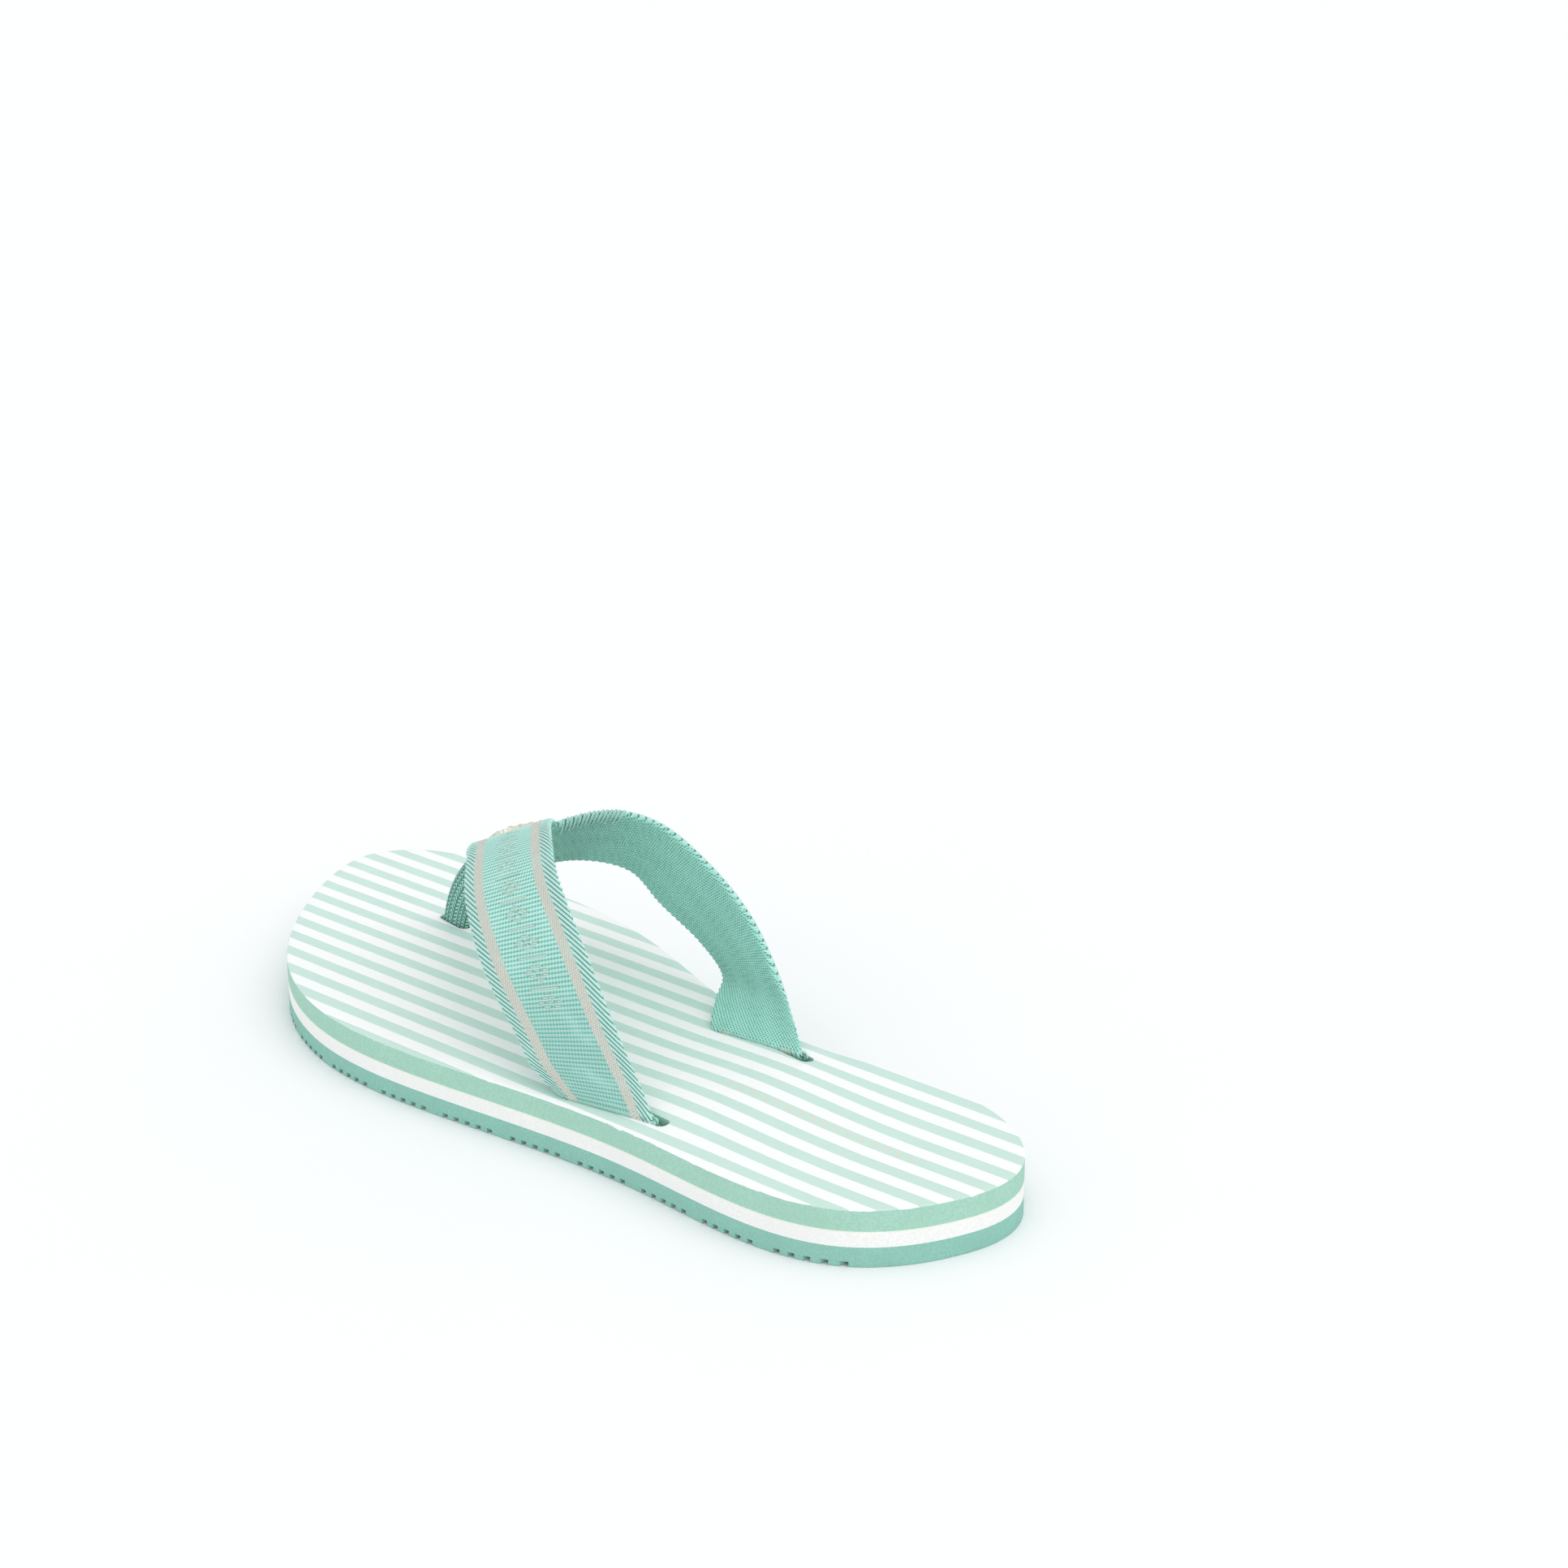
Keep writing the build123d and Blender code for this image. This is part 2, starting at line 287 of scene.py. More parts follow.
def shade(base, factor):
    """The colour made lighter or darker."""
    return (*(min(1.0, part * factor) for part in base[:3]), 1.0)


def foam(name, base, roughness=0.78, pore=0.05, depth=0.08):
    """Closed-cell foam: a fine pebbled skin with faint blotches, and how matt it is."""
    mat = Finish(name, roughness, specular=0.25)
    vector = mat.place()[0]
    blotch = mat.noise(vector, 0.09)
    pebble = mat.noise(vector, 1.7, 4)
    tone = mat.mix(mat.step(blotch, 0.3, 0.7), shade(base, 1 - depth * 0.35), shade(base, 1.03))
    tone = mat.mix(mat.step(pebble, 0.62, 0.38), tone, shade(base, 1 - depth))
    mat.emboss(pebble, pore * 1.2)
    mat.emboss(mat.noise(vector, 0.5), pore * 1.2)
    return mat, vector, tone, (pebble, 0.16, roughness - 0.08)


def foam_finish(name, base, **looks):
    mat, _, tone, matt = foam(name, base, **looks)
    return mat.done(tone, *matt)


def midsole_finish(name, base, top):
    """White foam with a faint, uneven line of dried glue under its top edge."""
    mat, vector, tone, matt = foam(name, base, pore=0.02, depth=0.04)
    height = mat.place()[3]
    ragged = mat.add(height, mat.times(mat.noise(vector, 0.8), -0.5))
    glue = mat.times(mat.step(ragged, top / MM - 0.62, top / MM - 0.42), 0.5)
    return mat.done(mat.mix(glue, tone, srgb(223, 236, 199)), *matt)


def outsole_finish(name, base):
    """Mint rubber foam, scuffed pale where it meets the ground."""
    mat, vector, tone, matt = foam(name, base, pore=0.06)
    height = mat.place()[3]
    scuff = mat.both(mat.step(height, 0.35, 0.0),
                     mat.step(mat.noise(vector, 0.25, 6), 0.45, 0.75))
    tone = mat.mix(mat.times(scuff, 0.35), tone, srgb(176, 206, 196))
    return mat.done(tone, *matt)


def print_finish(name, sole):
    """The printed sheet: mint stripes on white, with a row of pale dashes over the heel."""
    mat = Finish(name, 0.5, specular=0.3)
    vector, x, y = mat.cloth()
    turn = sole.stripe_turn
    across = mat.add(mat.times(y, math.cos(turn)), mat.times(x, -math.sin(turn)))
    along = mat.add(mat.times(x, math.cos(turn)), mat.times(y, math.sin(turn)))
    wobble = mat.times(mat.add(mat.noise(vector, 0.35), -0.5), 0.22)
    across = mat.add(mat.add(across, -sole.stripe_shift / MM), wobble)
    stripe = mat.size(mat.repeat(across, sole.stripe_pitch / MM))
    half = sole.stripe_width / MM / 2
    mint = mat.step(stripe, half + 0.09, half - 0.09)
    fade = mat.noise(vector, 0.05)
    speck = mat.noise(vector, 2.4)
    ink = mat.mix(fade, shade(sole.print_mint, 0.94), shade(sole.print_mint, 1.04))
    ink = mat.mix(mat.step(speck, 0.58, 0.75), ink, shade(sole.print_mint, 1.12))
    ground = mat.mix(fade, sole.print_white, shade(sole.print_white, 0.975))
    tone = mat.mix(mint, ground, ink)
    # the heel row lies on the middle mint stripe
    row = mat.size(across)
    slanted = mat.add(along, mat.times(across, 0.45))
    dash = mat.step(mat.size(mat.repeat(slanted, 3.6)), 1.02, 0.88)
    inside = mat.both(mat.step(row, 1.25, 1.1),
                      mat.step(mat.size(mat.add(along, 81.1)), 29.5, 29.3))
    worn = mat.times(mat.both(dash, inside), 0.5)
    tone = mat.mix(worn, tone, srgb(222, 218, 200))
    mat.emboss(mat.noise(vector, 1.1, 5), 0.07)
    mat.emboss(mat.noise(vector, 0.22), 0.16)
    mat.emboss(mint, 0.015)
    return mat.done(tone, speck, 0.2, 0.42)


def webbing_finish(name, straps, motif_from=None, motif_to=None):
    """The webbing's face: ribbed middle, two pale lines, twill edges, and a woven motif."""
    mat = Finish(name, 0.72, sheen=0.25, specular=0.3)
    vector, along, across = mat.cloth()
    rib_pitch = straps.rib_pitch / MM
    out = mat.size(across)
    light, deep, silver = straps.webbing_mint, straps.webbing_deep, straps.webbing_silver
    rib = mat.wave(along, rib_pitch)
    warp = mat.wave(mat.add(across, mat.times(along, 0.32)), 0.77)
    # middle: weft ribs, with painted shade darker towards the slot and lighter higher up
    high = mat.step(along, 16, 60)
    middle = mat.mix(high, shade(light, 0.80), shade(light, 1.04))
    weave = mat.math("MULTIPLY_ADD", warp, 0.38, mat.times(rib, 0.62))
    middle = mat.mix(mat.step(weave, 0.7, 0.1), middle, shade(deep, 0.92))
    # pale lines: an open plain weave over a grey ground
    mesh = mat.times(mat.cord(mat.add(along, mat.times(across, 0.45)), 0.57),
                     mat.cord(mat.add(across, mat.times(along, 0.3)), 0.5))
    pale = mat.mix(mat.step(mesh, 0.06, 0.5), shade(silver, 0.66), silver)
    # twill edges: slanting cords with dark gaps
    bend = mat.times(mat.math("SIGN", across), TWILL_START)
    slanted = mat.add(along, mat.times(mat.add(across, mat.times(bend, -1)), -TWILL_SLOPE))
    cords = mat.cord(slanted, CORD_ROWS * ROW)
    twill = mat.mix(mat.step(cords, 0.1, 0.75), shade(deep, 0.5), shade(light, 1.12))
    pale_start = TWILL_START - straps.silver_width / MM
    tone = mat.mix(mat.step(out, pale_start - 0.1, pale_start + 0.1), middle, pale)
    tone = mat.mix(mat.step(out, TWILL_START - 0.1, TWILL_START + 0.1), tone, twill)
    height = mat.mix(mat.step(out, pale_start, pale_start + 0.1), weave, mesh)
    if motif_from is not None:
        # hollow diamonds between bars, woven in the pale thread
        place = mat.repeat(along, MOTIF_PITCH)
        diamond = mat.add(mat.times(mat.size(place), 1.15), out)
        ring = mat.both(mat.step(diamond, 3.25, 3.1), mat.step(diamond, 1.7, 1.85))
        core = mat.step(diamond, 0.95, 0.8)
        bar = mat.both(mat.step(mat.size(place), 3.55, 3.7), mat.step(out, 3.5, 3.35))
        shape = mat.math("MAXIMUM", mat.math("MAXIMUM", ring, core), bar)
        reach = mat.both(mat.step(along, motif_from, motif_from + 0.2),
                         mat.step(along, motif_to, motif_to - 0.2))
        shape = mat.both(shape, reach)
        lines = mat.mix(mat.wave(along, rib_pitch / 2), shade(deep, 0.9), silver)
        tone = mat.mix(mat.times(shape, 0.7), tone, lines)
        mat.emboss(shape, 0.12)
    tired = mat.noise(vector, 0.12)
    tone = mat.mix(mat.times(mat.step(tired, 0.5, 0.75), 0.22), tone, shade(light, 1.2))
    mat.emboss(height, 0.16)
    mat.emboss(mat.noise(vector, 3.0, 4), 0.06)
    return mat.done(tone, tired, 0.2, 0.6)


def lining_finish(name, straps):
    """The webbing's back: a close twill of small slanting stitches."""
    mat = Finish(name, 0.8, sheen=0.2, specular=0.25)
    vector, along, across = mat.cloth()
    # painted shade: the back is darker towards the join, where the strap overhangs it, and lighter
    # near the slot
    high = mat.step(along, 60, 105)
    light = mat.mix(high, shade(straps.lining_mint, 1.22), shade(straps.lining_mint, 0.82))
    deep = shade(straps.webbing_deep, 0.5)
    rows = mat.cord(along, 0.67)
    grains = mat.cord(mat.add(across, mat.times(along, -0.38)), 0.95)
    stitch = mat.math("MULTIPLY_ADD", rows, 0.45, mat.times(grains, 0.55))
    tone = mat.mix(mat.step(stitch, 0.16, 0.66), deep, light)
    blotch = mat.noise(vector, 0.15)
    tone = mat.mix(mat.times(mat.step(blotch, 0.4, 0.7), 0.16), tone,
                   shade(straps.lining_mint, 1.15))
    mat.emboss(stitch, 0.28)
    mat.emboss(mat.noise(vector, 3.0, 4), 0.06)
    return mat.done(tone, blotch, 0.15, 0.72)


def plait_finish(name, straps):
    """The toe post's plait: two strands leaning to each side of every column."""
    mat = Finish(name, 0.8, sheen=0.2, specular=0.25)
    vector, along, across = mat.cloth()
    lean = mat.size(mat.repeat(across, PLAIT_WIDTH))
    strands = mat.cord(mat.add(along, mat.times(lean, -PLAIT_LEAN)), PLAIT_PITCH)
    gutter = mat.cord(across, PLAIT_WIDTH)
    stitch = mat.times(strands, mat.step(gutter, 0.0, 0.5))
    light, deep = shade(straps.lining_mint, 1.1), shade(straps.webbing_deep, 0.3)
    tone = mat.mix(mat.step(stitch, 0.18, 0.85), deep, light)
    fibre = mat.noise(vector, 2.6, 4)
    tone = mat.mix(mat.times(fibre, 0.3), tone, straps.lining_mint)
    mat.emboss(stitch, 0.3)
    mat.emboss(fibre, 0.08)
    return mat.done(tone, fibre, 0.2, 0.68)


def woven_finish(name, base, dark, thread=0.55):
    """A small woven patch or label: plain weave, with two lines and a row of marks."""
    mat = Finish(name, 0.8, sheen=0.2, specular=0.2)
    vector, along, across = mat.cloth()
    weft = mat.cord(along, thread)
    warp = mat.cord(mat.add(across, mat.times(mat.wave(along, 2 * thread), 0.2)), thread * 0.8)
    weave = mat.times(weft, warp)
    tone = mat.mix(mat.step(weave, 0.05, 0.5), shade(base, 0.82), base)
    mark = mat.step(mat.size(mat.repeat(along, 3.0)), 0.95, 0.8)
    row = mat.both(mat.step(mat.size(across), 1.5, 1.35), mark)
    line = mat.step(mat.size(mat.add(mat.size(across), -4.4)), 0.42, 0.3)
    shape = mat.math("MAXIMUM", row, line)
    tone = mat.mix(mat.times(shape, 0.75), tone, dark)
    mat.emboss(shape, 0.08)
    fibre = mat.noise(vector, 1.8, 4)
    tone = mat.mix(mat.times(fibre, 0.25), tone, shade(base, 1.15))
    mat.emboss(weave, 0.2)
    mat.emboss(fibre, 0.06)
    return mat.done(tone, fibre, 0.15, 0.7)


def thread_finish(name, base):
    """Spun thread: two plies that wind along it."""
    mat = Finish(name, 0.7, sheen=0.3, specular=0.3)
    vector, along, across = mat.cloth()
    ply = mat.cord(mat.add(along, mat.times(across, 0.6)), 0.55)
    tone = mat.mix(mat.step(ply, 0.0, 0.7), shade(base, 0.66), base)
    fibre = mat.noise(vector, 3.0, 3)
    mat.emboss(ply, 0.12)
    mat.emboss(fibre, 0.05)
    return mat.done(tone, fibre, 0.2, 0.6)


def floor_finish():
    """A matt white studio floor with a trace of grain."""
    mat = Finish("studio_floor", 0.9, specular=0.1)
    vector = mat.place()[0]
    grain = mat.noise(vector, 0.02)
    tone = mat.mix(grain, (0.945, 0.95, 0.955, 1), (0.955, 0.96, 0.965, 1))
    mat.emboss(grain, 0.01)
    return mat.done(tone, grain, 0.05, 0.88)


# ---- meshes ----------------------------------------------------------------------------------
def made_object(name, bm, materials, crease=35):
    """Ends the bmesh as an object at the origin, smooth but for edges sharper than the crease."""
    bmesh.ops.recalc_face_normals(bm, faces=bm.faces)
    if bm.calc_volume(signed=True) < 0:
        bmesh.ops.reverse_faces(bm, faces=bm.faces)
    for edge in bm.edges:
        edge.smooth = edge.calc_face_angle(math.pi) < math.radians(crease)
    for face in bm.faces:
        face.smooth = True
    mesh = bpy.data.meshes.new(name)
    bm.to_mesh(mesh)
    bm.free()
    piece = bpy.data.objects.new(name, mesh)
    bpy.context.scene.collection.objects.link(piece)
    for material in materials:
        mesh.materials.append(material)
    return piece


def settle(piece, body, nodes, slot):
    """Says which body the piece moves with and which nodes it stands for; slot is not used."""
    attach(piece, body)
    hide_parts(*nodes)


def close_ends(bm):
    bmesh.ops.holes_fill(bm, edges=[edge for edge in bm.edges if edge.is_boundary])


def own_map(bm):
    """The mesh's one map, made if there is none."""
    maps = bm.loops.layers.uv
    return maps.get("UVMap") or maps.new("UVMap")


def skin(bm, rings, lengths, girth):
    """Adds a tube through rings of points. Its map runs lengths along and girth round it."""
    rows, columns = len(rings) - 1, len(rings[0])
    flat = own_map(bm)
    made = bmesh.ops.create_grid(bm, x_segments=columns, y_segments=rows, size=0.5,
                                 calc_uvs=True)["verts"]
    for vert in made:
        column = round((vert.co.x + 0.5) * columns)
        row = round((vert.co.y + 0.5) * rows)
        vert.co = rings[row][column % columns]
        for loop in vert.link_loops:
            along = lengths[row]
            if isinstance(along, (list, tuple)):
                along = along[column % columns]
            loop[flat].uv = (along, girth[column])
    return made


def tube(rings, lengths, girth):
    """A closed tube in a mesh of its own."""
    bm = bmesh.new()
    skin(bm, rings, lengths, girth)
    bmesh.ops.remove_doubles(bm, verts=bm.verts, dist=MERGE)
    close_ends(bm)
    return bm


def split(bm, point, normal, snap, **trim):
    """Cuts the faces along a plane; a point within snap of it counts as on it."""
    bmesh.ops.bisect_plane(bm, geom=bm.verts[:] + bm.edges[:] + bm.faces[:], plane_co=point,
                           plane_no=normal, dist=snap, **trim)


def cut(bm, point, normal, keep_below=True):
    """Trims the closed mesh by a plane and closes it again."""
    split(bm, point, normal, MERGE, clear_outer=keep_below, clear_inner=not keep_below)
    close_ends(bm)


def knots_of(points):
    """Where along its parameter a smooth curve meets each point; wider where points are far."""
    knots = [0.0]
    for first, second in zip(points, points[1:]):
        knots.append(knots[-1] + math.sqrt((second - first).length))
    return [knot / knots[-1] for knot in knots]


def spline(points, share, knots=None):
    """The point a share of the way along a smooth curve through the points."""
    knots = knots or knots_of(points)
    last = len(points) - 1
    span = next((k for k in range(last) if share < knots[k + 1]), last - 1)

    def slope(k):
        if k in (0, last):
            low = min(k, last - 1)
            return (points[low + 1] - points[low]) / (knots[low + 1] - knots[low])
        before, after = knots[k] - knots[k - 1], knots[k + 1] - knots[k]
        return ((points[k + 1] - points[k]) / after * before
                + (points[k] - points[k - 1]) / before * after) / (before + after)
    width = knots[span + 1] - knots[span]
    t = (share - knots[span]) / width
    return (points[span] * (2 * t ** 3 - 3 * t ** 2 + 1)
            + slope(span) * width * (t ** 3 - 2 * t ** 2 + t)
            + points[span + 1] * (3 * t ** 2 - 2 * t ** 3)
            + slope(span + 1) * width * (t ** 3 - t ** 2))


def smooth(value, low, high):
    share = min(max((value - low) / (high - low), 0.0), 1.0)
    return share * share * (3 - 2 * share)


class Strap:
    """A strap's middle surface. All its lengths are millimetres; points come out in metres."""
    SAMPLES = 700

    def __init__(self, edges, outward, apex_lift):
        front, rear = ([Vector(point) for point in edge] for edge in edges)
        knots = knots_of([(first + second) / 2 for first, second in zip(front, rear)])
        self.stations = []
        for index in range(self.SAMPLES + 1):
            share = index / self.SAMPLES
            lift = APEX_NORMAL * apex_lift * smooth(share, 0.66, 0.82)
            self.stations.append((spline(front, share, knots) + lift,
                                  spline(rear, share, knots) + lift))
        middles = [(first + second) / 2 for first, second in self.stations]
        self.outs = []
        for index, (first, second) in enumerate(self.stations):
            ahead = middles[min(index + 3, self.SAMPLES)] - middles[max(index - 3, 0)]
            self.outs.append((ahead.cross(first - second) * outward).normalized())
        self.reach = [0.0]
        for first, second in zip(middles, middles[1:]):
            self.reach.append(self.reach[-1] + (second - first).length)
        mouth = next(i for i, middle in enumerate(middles) if middle.z >= 0)
        self.mouth = self.reach[mouth]
        self.length = self.reach[-1] - self.mouth
        self.even = []
        index = 0
        for step in range(self.SAMPLES + 1):
            target = self.reach[-1] * step / self.SAMPLES
            while index < self.SAMPLES - 1 and self.reach[index + 1] < target:
                index += 1
            span = self.reach[index + 1] - self.reach[index]
            share = (target - self.reach[index]) / span
            low, high = ((*self.stations[at], self.outs[at]) for at in (index, index + 1))
            self.even.append([first.lerp(second, share) for first, second in zip(low, high)])

    def point(self, along, across, out):
        """along from the slot's mouth, across from the middle to the toe side, out from it."""
        place = (along + self.mouth) / self.reach[-1] * self.SAMPLES
        index = min(max(int(place), 0), self.SAMPLES - 1)
        share = place - index
        front, rear, normal = (low.lerp(high, share) for low, high in
                               zip(self.even[index], self.even[index + 1]))
        spot = (front + rear) / 2 + (front - rear) / 2 * (across / HALF_WIDTH) + normal * out
        return spot * MM + Vector((0, 0, SOLE_TOP))

    def nearest(self, target):
        """How far along the strap the target, in metres, lies."""
        places = [self.length * step / 200 for step in range(201)]
        return min(places, key=lambda along: (self.point(along, 0, 0) - target).length)


def webbing_section(half_thickness):
    """Points round the webbing: across, how far out, 1 off its back, and which selvedge."""
    bulge = half_thickness * 0.8
    flat = HALF_WIDTH - bulge
    section = []
    for side, columns in ((1, FACE_COLUMNS), (-1, BACK_COLUMNS)):
        for column in range(columns + 1):
            section.append((side * (flat - 2 * flat * column / columns), side * half_thickness,
                            1 if side > 0 else 0, 0))
        for column in range(1, EDGE_COLUMNS):
            turn = math.pi * (side * 0.5 + column / EDGE_COLUMNS)
            section.append((-side * flat + bulge * math.cos(turn),
                            half_thickness * math.sin(turn), 1, -side))
    return section


def slant(across, on_face):
    """How far the weave's rows lean along the strap at this place across it."""
    most = TWILL_SLOPE * (HALF_WIDTH - TWILL_START)
    if not on_face:
        return most * across / HALF_WIDTH
    past = max(abs(across) - TWILL_START, 0) * TWILL_SLOPE
    return math.copysign(min(past, most), across)


def webbing_mesh(strap, half_thickness):
    """The strap's woven tube, with ribs, slanting edge cords and a scalloped selvedge."""
    section = webbing_section(half_thickness)
    first = -round((strap.mouth + TAIL) / ROW)
    last = round((strap.length + TAIL) / ROW)
    rings, lengths = [], []
    for row in range(first, last + 1):
        cord = abs(math.sin(math.pi * row / CORD_ROWS))
        rib = math.cos(2 * math.pi * row / RIB_ROWS)
        ring, along_ring = [], []
        for across, out, on_face, edge in section:
            along = row * ROW + slant(across, on_face)
            outer = smooth(abs(across), TWILL_START - 0.3, TWILL_START + 0.3)
            if edge:
                across += edge * 0.34 * (cord - 0.5)
                out *= 0.85 + 0.3 * cord
            elif on_face:
                out += outer * 0.30 * (cord - 0.6) + (1 - outer) * 0.07 * rib
            else:
                out -= 0.07 * rib * math.cos(across * 2 * math.pi / 1.9)
            ring.append(strap.point(along, across, out))
            along_ring.append(along * MM)
        rings.append(ring)
        lengths.append(along_ring)
    girth = [across * MM for across, *_ in section]
    return tube(rings, lengths, girth + girth[:1])


def thread_mesh(bm, points, radius, sides=8):
    """Adds a thread along the points, rounded at its ends."""
    rings, lengths = [], []
    run = 0.0
    for index, point in enumerate(points):
        ahead = points[min(index + 1, len(points) - 1)] - points[max(index - 1, 0)]
        ahead.normalize()
        side = side - ahead * side.dot(ahead) if rings else ahead.orthogonal()
        side.normalize()
        up = ahead.cross(side)
        share = index / (len(points) - 1)
        thick = radius * max(0.35, math.sin(math.pi * share)) ** 0.35
        rings.append([point + (side * math.cos(turn) + up * math.sin(turn)) * thick
                      for turn in (2 * math.pi * k / sides for k in range(sides))])
        if index:
            run += (point - points[index - 1]).length
        lengths.append(run)
    skin(bm, rings, lengths, [2 * math.pi * radius * k / sides for k in range(sides + 1)])


def threads(name, runs, radius, material):
    """One object of many short threads."""
    bm = bmesh.new()
    for points in runs:
        thread_mesh(bm, points, radius)
    bmesh.ops.remove_doubles(bm, verts=bm.verts, dist=MERGE)
    close_ends(bm)
    return made_object(name, bm, [material], crease=60)


def slab(rows, columns, half_length, half_width, corner, point, ragged=0.0):
    """A thin woven piece with round corners. point(along, across, out) places it; out is 0 to 1."""
    section = [(1 - 2 * k / columns, 1.0) for k in range(columns + 1)]
    section += [(-1.0, 0.5)]
    section += [(-1 + 2 * k / columns, 0.0) for k in range(columns + 1)]
    section += [(1.0, 0.5)]
    rings, lengths = [], []
    for row in range(rows + 1):
        along = -half_length + 2 * half_length * row / rows
        inset = max(corner - (half_length - abs(along)), 0)
        narrow = corner - math.sqrt(max(corner ** 2 - inset ** 2, 0))
        wide = half_width - narrow
        ring = []
        for share, out in section:
            wave = ragged * (math.sin(along * 5.1) + 0.6 * math.sin(along * 11.7 + share))
            reach = share * wide + (math.copysign(wave, share) if abs(share) == 1 else 0)
            end = ragged * math.sin(share * half_width * 4.3) if row in (0, rows) else 0
            ring.append(point(along + math.copysign(end, along), reach, out))
        rings.append(ring)
        lengths.append(along * MM)
    girth = [share * half_width * MM for share, _ in section]
    return tube(rings, lengths, girth + girth[:1])


# ---- the sole --------------------------------------------------------------------------------
def layer_mesh(rear_node, front_node):
    """Both sections of a sole layer joined into one across the ball line."""
    bm = bmesh.new()
    bm.from_mesh(frame["nodes"][rear_node].data)
    bm.from_mesh(frame["nodes"][front_node].data)
    bmesh.ops.remove_doubles(bm, verts=bm.verts, dist=2e-6)
    rear_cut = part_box(rear_node)[1].x
    front_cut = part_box(front_node)[0].x
    ends = [face for face in bm.faces if any(
        all(abs(vert.co.x - cut_at) < 2e-6 for vert in face.verts)
        for cut_at in (rear_cut, front_cut))]
    bmesh.ops.delete(bm, geom=ends, context="FACES_ONLY")
    loose = [edge for edge in bm.edges if not edge.link_faces]
    bmesh.ops.delete(bm, geom=loose, context="EDGES")
    rims = [edge for edge in bm.edges if edge.is_boundary]
    bmesh.ops.bridge_loops(bm, edges=rims)
    bmesh.ops.dissolve_limit(bm, angle_limit=math.radians(0.4), verts=bm.verts, edges=bm.edges)
    return bm


def round_rim(bm, level, width, clamp):
    """Rounds the edges where the layer's walls meet its face at this level."""
    rim = [edge for edge in bm.edges if len(edge.link_faces) == 2
           and edge.calc_face_angle(0) > math.radians(50)
           and all(abs(vert.co.z - level) < 1e-5 for vert in edge.verts)]
    bmesh.ops.bevel(bm, geom=rim, offset=width, segments=2, profile=0.5, affect="EDGES",
                    material=-1, clamp_overlap=clamp)


def grid_cuts(bm, low, high):
    """Divides the layer into cells, finer across the ball line where it bends."""
    planes = []
    x = low.x + 4 * MM
    while x < high.x - 2 * MM:
        planes.append(((x, 0, 0), (1, 0, 0)))
        x += (2 if abs(x - BALL_LINE) < 32 * MM else 4) * MM
    count = round((high.y - low.y) / (6 * MM))
    for step in range(1, count):
        y = low.y + (high.y - low.y) * step / count
        planes.append(((0, y, 0), (0, 1, 0)))
    for point, normal in planes:
        split(bm, point, normal, CUT_SNAP)


def footbed_relief(sole):
    """How far the foot has raised or pressed the footbed at a place."""
    def relief(x, y):
        arch = sole.arch_swell * math.exp(-((x + 0.055) / 0.021) ** 2)
        heel = sole.heel_hollow * math.exp(-((x + 0.098) / 0.022) ** 2)
        middle = -0.006 if x < -0.03 else 0.0
        inward = 1 - smooth(abs(y - middle), 14 * MM, 29 * MM)
        return (arch - heel) * inward
    return relief


class FLIPFLOP_OT_sole(bpy.types.Operator):
    """Builds the four layers of the sole: printed sheet, mint foam, white foam and outsole"""
    bl_idname = "flipflop.sole"
    bl_label = "Sole layers"

    def execute(self, context):
        sole = context.scene.flipflop_sole
        relief = footbed_relief(sole)
        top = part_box("midsole_rear")[1].z
        foam_side = foam_finish("mint_foam", sole.foam_mint)
        layers = (
            ("top_sheet", "printed_sheet", [print_finish("striped_print", sole), foam_side]),
            ("top_foam", "mint_foam", [foam_side]),
            ("midsole", "white_foam", [midsole_finish("white_foam", sole.foam_white, top)]),
            ("outsole", "outsole_rubber", [outsole_finish("outsole_rubber",
                                                          sole.outsole_mint)]),
        )
        for layer, slot, finishes in layers:
            nodes = (layer + "_rear", layer + "_front")
            corners = [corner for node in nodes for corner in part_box(node)]
            low = Vector(min(c[axis] for c in corners) for axis in range(3))
            high = Vector(max(c[axis] for c in corners) for axis in range(3))
            bm = layer_mesh(*nodes)
            if layer == "top_sheet":
                round_rim(bm, high.z, sole.rim, clamp=False)
            if layer == "outsole":
                round_rim(bm, low.z, sole.rim * 0.8, clamp=True)
            bmesh.ops.triangulate(bm, faces=bm.faces)
            grid_cuts(bm, low, high)
            bm.normal_update()
            flat = own_map(bm)
            for face in bm.faces:
                for loop in face.loops:
                    loop[flat].uv = loop.vert.co.xy
                if layer == "top_sheet" and face.calc_center_median().z < high.z - sole.rim * 1.3:
                    face.material_index = 1
            if layer in ("top_sheet", "top_foam"):
                for vert in bm.verts:
                    share = 1 if layer == "top_sheet" else (vert.co.z - low.z) / (high.z - low.z)
                    vert.co.z += relief(vert.co.x, vert.co.y) * share
            piece = made_object("striped_" + layer if layer == "top_sheet" else layer + "_layer",
                                bm, finishes)
            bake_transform(piece)
            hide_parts(*nodes)
        return {"FINISHED"}


# ---- straps ----------------------------------------------------------------------------------
def strap_pair(straps):
    """Both straps' surfaces, and half the webbing's thickness in millimetres."""
    return (Strap(LATERAL_EDGES, 1, LATERAL_LIFT), Strap(MEDIAL_EDGES, -1, MEDIAL_LIFT),
            straps.thickness / MM / 2)


